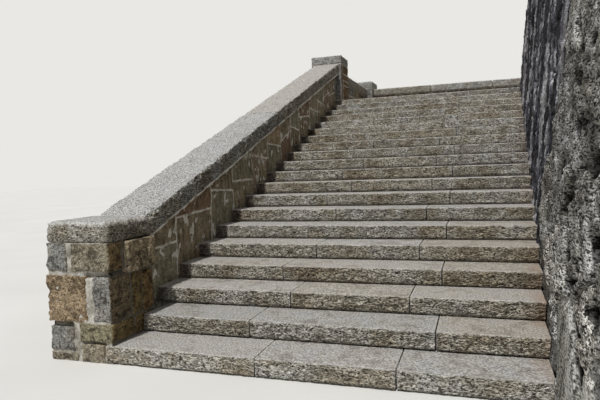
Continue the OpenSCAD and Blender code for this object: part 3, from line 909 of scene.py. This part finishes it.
def flank_stone():
    """Quarry-faced gneiss, streaked by water and grey with old lichen, and smooth and light on a
    few split slabs. Its pits, hollows and cracks are painted black as shade, what stands out is
    painted pale as light, and its far part is painted darker and bluer as shade."""
    material, tree, place, stone, deep, smooth, shaded_far_part = start_material(
        "quarry_faced_gneiss", 0.9, 1.52, ("stone", "kind", "worn", "earth_and_shade"), 0.1)
    # Broken facets of 100 by 60 mm and chips of 45 by 16 mm, grain about 30 mm long and 12 mm
    # high as drawn, and holes of 65 by 22 mm that are only painted, as dark shade
    chip_height, chip_tilt_shade = broken_facets(place, 0.045, 0.016)
    big_height, big_tilt_shade = broken_facets(place, 0.10, 0.060)
    grain = stretched(place, (60.0, 33.0, 84.0), 1.0, 0.55)
    holes = stretched(place, (24.0, 15.0, 46.0), 1.0, 0.5)
    speck = add(tree, "TexNoise", {"Vector": place, "Scale": 60.0, "Detail": 2.0, "Roughness": 0.6})
    # Pale with lichen in patches of 300 to 400 mm, brown-grey between them
    patches = stretched(place, (3.0, 2.6, 3.4), 2.0, 0.55)
    ground = add(tree, "ValToRGB", {"Fac": patches},
                 steps={0.36: "#a8a49d", 0.46: "#c9c6bf", 0.54: "#e6e4df", 0.64: "#f8f8f5"})
    fine = add(tree, "Mix", {0: 0.12, 2: grain, 3: big_tilt_shade})
    fine = add(tree, "Mix", {0: 0.08, 2: fine, 3: chip_tilt_shade})
    # Painted light and shade: the fine relief is black where it is low and pale where it stands out
    grains = add(tree, "ValToRGB", {"Fac": fine},
                 steps={0.38: "#151311", 0.43: "#7c7872", 0.475: "#dedcd7", 0.53: "#ffffff"})
    # Painted shade: near black holes that the relief doesn't have
    shaded_holes = add(tree, "ValToRGB", {"Fac": holes}, steps={0.34: "#090807", 0.385: "#ffffff"})
    # Split slabs are smooth, with upright scratches and stains
    scores = stretched(place, (26.0, 13.0, 3.5), 3.0, 0.6)
    worn_face = add(tree, "Mix", {0: 0.55, 2: scores, 3: grain})
    slabs = add(tree, "ValToRGB", {"Fac": worn_face},
                steps={0.40: "#4c4943", 0.47: "#908d86", 0.55: "#c8c6c0"})
    each = add(tree, "ValToRGB", {"Fac": stone},
               steps={0.15: "#9b9b9f", 0.35: "#dedbd7", 0.55: "#ffffff", 0.72: "#f4efe6",
                      0.9: "#8f8a82"})
    face = ground
    for amount, colour, way in ((0.85, grains, darken), (0.9, shaded_holes, darken),
                                (smooth, slabs, cover), (0.55, each, darken)):
        face = add(tree, "Mix", {0: amount, 6: face, 7: colour}, **way)
    # Up the flight, beyond the near part, the wall is darker and blue-grey: painted shade, with
    # water streaks about 350 mm wide and more than a metre long
    streak = stretched(place, (3.0, 3.2, 0.75), 3.0, 0.6)
    streaks = add(tree, "ValToRGB", {"Fac": streak},
                  steps={0.41: "#1f1f26", 0.48: "#3c3c46", 0.535: "#8a8a96", 0.58: "#ffffff"})
    far_shade_and_streaks = add(tree, "Mix", {0: 0.45, 6: face, 7: "#dfdfe7"}, **cover)
    far_shade_and_streaks = add(tree, "Mix", {0: 0.95, 6: far_shade_and_streaks, 7: streaks}, **darken)
    face = add(tree, "Mix", {0: shaded_far_part, 6: face, 7: far_shade_and_streaks}, **cover)
    # Hollows, cracks, open joints, the face under the near part and a strip beyond its edge are
    # darkened inside: painted shade, with ragged rims
    ragged = add(tree, "Math", {0: grain, 1: 0.5, 2: deep}, operation="MULTIPLY_ADD")
    inside = add(tree, "MapRange", {"Value": ragged, "From Min": 0.42, "From Max": 0.90})
    shade = add(tree, "Mix", {0: inside, 6: face, 7: "#36322f"}, **darken)
    height = add(tree, "Math", {0: big_height, 1: 0.8, 2: grain}, operation="MULTIPLY_ADD")
    height = add(tree, "Math", {0: chip_height, 1: 0.3, 2: height}, operation="MULTIPLY_ADD")
    gentle = add(tree, "Math", {0: speck, 1: 0.25}, operation="MULTIPLY")
    gentle = add(tree, "Math", {0: worn_face, 1: 0.6, 2: gentle}, operation="MULTIPLY_ADD")
    soft = add(tree, "Mix", {0: smooth, 2: height, 3: gentle})
    paint(tree, shade, soft, 0.045)
    return material


gneiss = flank_stone()
wall_from, wall_to, wall_high, wall_thick, skin_depth = -1.500, 8.400, 5.100, 1.400, 0.5
# Hollows where packing stones are gone, as (along, height, reach along, reach up, rise, depth)
hollows = [(-1.14, 0.60, 0.12, 0.09, 0.0, 0.10), (-0.95, 0.83, 0.18, 0.060, -0.24, 0.10),
           (-0.92, 1.11, 0.17, 0.10, -0.1, 0.11), (-0.60, 1.505, 0.22, 0.050, 0.0, 0.08),
           (-0.27, 1.86, 0.11, 0.09, 0.0, 0.09), (0.16, 2.02, 0.27, 0.055, 0.18, 0.09),
           (-0.04, 2.09, 0.19, 0.050, 0.2, 0.07), (-0.24, 2.17, 0.17, 0.050, 0.2, 0.07),
           (-0.27, 0.84, 0.19, 0.028, -0.2, 0.04), (-0.88, 0.50, 0.08, 0.050, 0.0, 0.07),
           (0.70, 2.90, 0.25, 0.08, 0.3, 0.06), (-0.30, 3.05, 0.16, 0.07, 0.3, 0.06),
           (2.60, 2.10, 0.20, 0.10, 0.0, 0.07), (3.90, 2.50, 0.22, 0.12, 0.0, 0.07),
           (-0.47, 1.355, 0.05, 0.017, 0.0, 0.03), (-0.50, 1.290, 0.05, 0.017, 0.0, 0.03),
           (-0.51, 1.185, 0.06, 0.020, 0.0, 0.03), (-0.22, 1.428, 0.06, 0.020, 0.0, 0.03)]
# Open upright cracks, as the places (along, height) of their top and foot, and their width
cracks = [((0.40, 2.50), (0.30, 2.32), 0.045), ((-0.45, 1.94), (-0.50, 1.86), 0.04),
          ((0.06, 1.84), (-0.03, 1.62), 0.030), ((-0.09, 1.82), (-0.20, 1.62), 0.035),
          ((-0.53, 1.47), (-0.67, 1.22), 0.028), ((-0.45, 1.11), (-0.58, 0.95), 0.050),
          ((0.96, 1.66), (1.40, 1.57), 0.050), ((-0.93, 0.68), (-1.00, 0.56), 0.040),
          ((0.70, 1.50), (0.62, 1.12), 0.026), ((0.20, 1.36), (0.05, 1.02), 0.024),
          ((-0.75, 2.60), (-0.84, 1.70), 0.028), ((-0.30, 1.30), (-0.40, 1.14), 0.025)]
# Edge of the near part, which stands before the rest of the face, as (height, along)
border = [(0.957, 1.79), (1.342, 1.98), (1.602, 1.34), (1.922, 1.24), (2.332, 0.93),
          (3.202, 0.85), (5.1, 0.7)]


def border_at(z):
    """How far along the wall that edge is, at a height."""
    for (z0, a0), (z1, a1) in zip(border, border[1:]):
        if z <= z1:
            return a0 + (a1 - a0) * max(0.0, z - z0) / (z1 - z0)
    return border[-1][1]


def smooth_step(low, high, value):
    """Goes from 0 at low to 1 at high, without a corner."""
    t = min(1.0, max(0.0, (value - low) / (high - low)))
    return t * t * (3 - 2 * t)


def flank_relief(a, h, seed, front):
    """How far the face stands out, how much painted shade it gets in hollows, cracks, crevices and
    under the near part, how smooth it is, how far it is in the far part with painted shade and
    streaks, and which stone it belongs to."""
    bend = noise.noise_vector((a * 1.7, h * 1.7, seed)) * 0.16
    at = Vector(((a + bend.x) * 1.1, (h + bend.y) * 2.2, seed))
    near, cells = noise.voronoi(at)
    stone = min(1.0, max(0.0, 0.5 + 0.9 * noise.noise(cells[0] * 7.7)))
    # Each stone's face is tilted its own way, and broken into smaller tilted facets
    tilt = noise.noise_vector(cells[0] * 3.3)
    from_middle = at - cells[0]
    small = Vector((a * 5.5 + bend.y * 5.0, h * 9.0 + bend.x * 4.0, seed + 3.0))
    _, facets = noise.voronoi(small)
    facet = noise.noise_vector(facets[0] * 5.1)
    in_facet = small - facets[0]
    out = (stone - 0.5) * 0.02 + tilt.x * from_middle.x * 0.04 + tilt.y * from_middle.y * 0.03
    out += facet.x * in_facet.x * 0.036 + facet.y * in_facet.y * 0.022 + facet.z * 0.012
    out += 0.016 * noise.noise((a * 11.0, h * 9.0, seed))
    out += 0.012 * noise.noise((a * 22.0, h * 30.0, seed))
    between = cells[0] - cells[1]
    to_joint = (near[1] ** 2 - near[0] ** 2) / (2 * between.length)
    upright = abs(between.x) / (abs(between.x) + abs(between.y) + 1e-6)
    crevice = 1.0 - smooth_step(0.0, 0.03 + 0.05 * upright if front else 0.055, to_joint)
    open_here = smooth_step(-0.25, 0.2, noise.noise((a * 1.3, h * 1.3, seed + 4.0)))
    open_here = open_here * (0.35 + 0.65 * upright) if front else 0.55 + 0.2 * open_here
    out -= crevice * open_here * 0.06
    # Open joints are painted dark inside: painted shade
    deep = crevice * open_here
    flat = shaded_far_part = 0.0
    if front:
        # The far part, beyond the near part's edge, gets painted shade and streaks
        shaded_far_part = smooth_step(-0.08, 0.12, a - border_at(h) + 0.3 * bend.x)
        # Beside the steps' ends the face lies back, under the near part's lower edge
        low_edge = 2 * riser + (a + 0.05) * pitch
        inside = min(border_at(h) - a, max(h - low_edge, -0.05 - a)) + 0.2 * bend.y
        nearer = smooth_step(-0.02, 0.06, inside)
        under = (1.0 - nearer) * (1.0 - shaded_far_part)
        out = out * (1.0 - 0.5 * under) - near_proud * (1.0 - nearer)
        # Painted shade under the near part's edge, and its painted shadow in a strip beyond its far
        # edge
        ledge_shadow = smooth_step(-0.05, 0.05, a - border_at(h)) * smooth_step(
            0.45, 0.2, a - border_at(h) + bend.x)
        deep = max(deep, 0.38 * under, 0.4 * ledge_shadow)
        ragged = 0.35 * noise.noise((a * 12.0, h * 26.0, seed)) + 0.5 * noise.noise(
            (a * 4.5, h * 8.0, seed + 2.0))
        # Hollows and cracks are sunk, and painted dark inside as shade
        for ca, ch, ra, rh, rise, depth in hollows:
            up_it = (h - ch - rise * (a - ca) + bend.y * 0.15) / rh
            into = 1.0 - smooth_step(0.65, 1.2, math.hypot((a - ca) / ra, up_it) + ragged)
            out -= depth * into
            deep = max(deep, into)
        for (top_a, top_h), (foot_a, foot_h), half in cracks:
            down = (top_h - h) / (top_h - foot_h)
            if 0.0 < down < 1.0:
                off = abs(a - top_a - (foot_a - top_a) * down + bend.x * 0.2) / half
                into = smooth_step(1.1, 0.7, off + ragged)
                into *= smooth_step(0.0, 0.15, down * (1 - down))
                out -= 0.05 * into
                deep = max(deep, into)
        # A tall smooth slab at the foot, narrowing upwards, with a crack along its near edge,
        # and a lower one beside it
        edge_at, end_at = 1.23 * max(0.0, h - 0.43) - 0.90, 0.64 * h - 0.36
        near_edge = a - edge_at
        within = min(near_edge, end_at - a, 0.70 + 0.143 * (0.09 - a) - h)
        beside = min(a + 1.30, -0.93 - a, 0.58 - h)
        flat = smooth_step(-0.01, 0.03, within)
        out = out * (1 - 0.85 * flat) + flat * (0.02 - 0.03 * smooth_step(0.10, 0.0, within))
        low_slab = smooth_step(0.0, 0.05, beside)
        out = out * (1 - 0.7 * low_slab) + low_slab * 0.01
        deep *= (1 - flat) * (1 - low_slab)
        split = smooth_step(0.055, 0.03, abs(near_edge - 0.005)) * smooth_step(0.74, 0.68, h)
        split *= smooth_step(0.22, 0.30, h)
        out -= 0.03 * split
        # The crack is painted dark inside: painted shade
        deep = max(deep, split)
        # The slab is pale near its near edge and stained dark beyond
        if flat > 0.5:
            stone = 0.95 if near_edge > 0.45 * (end_at - edge_at) + 0.1 * bend.x else 0.55
        flat = max(flat, low_slab) * (1 - split)
        # One face beside the slab's head is drab
        drab = smooth_step(1.15, 0.8, math.hypot((a - 0.04) / 0.27, (h - 1.20) / 0.32))
        stone += (0.95 - stone) * drab
    return out, deep, flat, shaded_far_part, stone


def flank_skin(bm, along_cells, high_cells, put, seed, front):
    """One side of the wall: a gridded face, with its edge drawn back to form the ends and top."""
    size = (wall_to - wall_from, skin_depth, wall_high)
    bands, arris = 7, 0.05
    skin = bmesh.new()
    bmesh.ops.create_grid(skin, x_segments=along_cells, y_segments=high_cells, size=0.5)
    for v in skin.verts:
        v.co = (v.co.x + 0.5, 0.0, v.co.y + 0.5)
    for k in range(bands):
        draw_back(skin, 1 / bands)
    bmesh.ops.edgeloop_fill(skin, edges=[e for e in skin.edges if e.is_boundary])
    layers = [skin.verts.layers.float.new(n) for n in ("kind", "worn", "earth_and_shade", "stone")]
    for v in skin.verts:
        u, w, t = v.co
        if front:
            # Finer cuts near the foot of the flight and near the ground than farther off
            u, t = 0.5 * u + 0.5 * u * u, 0.55 * t + 0.45 * t * t
        p = Vector((u * size[0], w * size[1], t * size[2]))
        inner = Vector((min(max(p.x, arris), size[0] - arris), max(p.y, arris),
                        min(max(p.z, 0.0), size[2] - arris)))
        away = p - inner
        out = Vector((0, 0, 0))
        if away.length > 1e-9:
            out = away.normalized()
            p = inner + out * min(arris, away.length)
        along = p.x + wall_from + (p.y if abs(out.x) > 0.5 else 0.0)
        high = p.z + (p.y if out.z > 0.5 else 0.0)
        faces_out = out.y < -0.3
        amount, *values = flank_relief(along, high, seed, front and faces_out)
        for layer, value in zip(layers, values):
            v[layer] = value
        v.co = put(p + out * (amount if faces_out else min(amount, 0.010)))
    join(bm, skin)


def to_heart(p):
    """Depth into the wall: from a hand's breadth in, it is stretched to the wall's middle."""
    half = (wall_thick - batter * p.z) / 2
    breadth = 0.08
    return min(p.y, breadth) + max(0.0, p.y - breadth) * (half - breadth) / (skin_depth - breadth)


def in_wall(across, along, high):
    """A place given across the wall from its foot, along it, and up."""
    return Vector((flight_width / 2 + across * math.cos(splay) + along * math.sin(splay),
                   along * math.cos(splay) - across * math.sin(splay), high))


bm = bmesh.new()
flank_skin(bm, 225, 300, lambda p: in_wall(batter * p.z + to_heart(p), p.x + wall_from, p.z),
           1.0, True)
# The side that isn't seen is plumb
flank_skin(bm, 120, 66, lambda p: in_wall(wall_thick - to_heart(p), wall_to - p.x, p.z),
           17.0, False)
finish_piece(bm, "gneiss_flank_wall", [gneiss], "flank_rubble", "flank_wall")

# Studio: a plain pale floor, soft light from above and a little to the left, and a pale
# background that only the camera and reflections see.
floor_material, tree, place = start_material("pale_studio_floor", 0.9, 1.5)
cloud = add(tree, "TexNoise", {"Vector": place, "Scale": 0.6})
face = add(tree, "ValToRGB", {"Fac": cloud}, steps={0.3: "#d2d0cb", 0.7: "#d8d6d1"})
tree.links.new(face, tree.nodes["Principled BSDF"].inputs["Base Color"])
floor_mesh = bpy.data.meshes.new("floor")
bm = bmesh.new()
bmesh.ops.create_grid(bm, x_segments=2, y_segments=2, size=60.0)
bm.to_mesh(floor_mesh)
bm.free()
floor_mesh.materials.append(floor_material)
floor = add_object("floor", floor_mesh)

key_data = bpy.data.lights.new("key", "SUN")
key_data.energy = 2.9
key_data.angle = math.radians(2.5)
key = add_object("key", key_data)
key.rotation_euler = Vector((0.09, 0.64, -1.42)).to_track_quat("-Z", "Y").to_euler()

world = bpy.data.worlds.new("studio")
bpy.context.scene.world = world
world.use_nodes = True
tree = world.node_tree
tree.nodes.clear()
seen = add(tree, "LightPath", out="Is Camera Ray")
for ray in ("Is Glossy Ray", "Is Transmission Ray"):
    other = add(tree, "LightPath", out=ray)
    seen = add(tree, "Math", {0: seen, 1: other}, operation="MAXIMUM")
lighting = add(tree, "Background", {"Color": "#f4f6fa", "Strength": 0.36})
backdrop = add(tree, "Background", {"Color": "#e9e8e4", "Strength": 1.0})
both = add(tree, "MixShader", {0: seen, 1: lighting, 2: backdrop})
add(tree, "OutputWorld", {"Surface": both})

bpy.context.scene.view_settings.view_transform = "Standard"
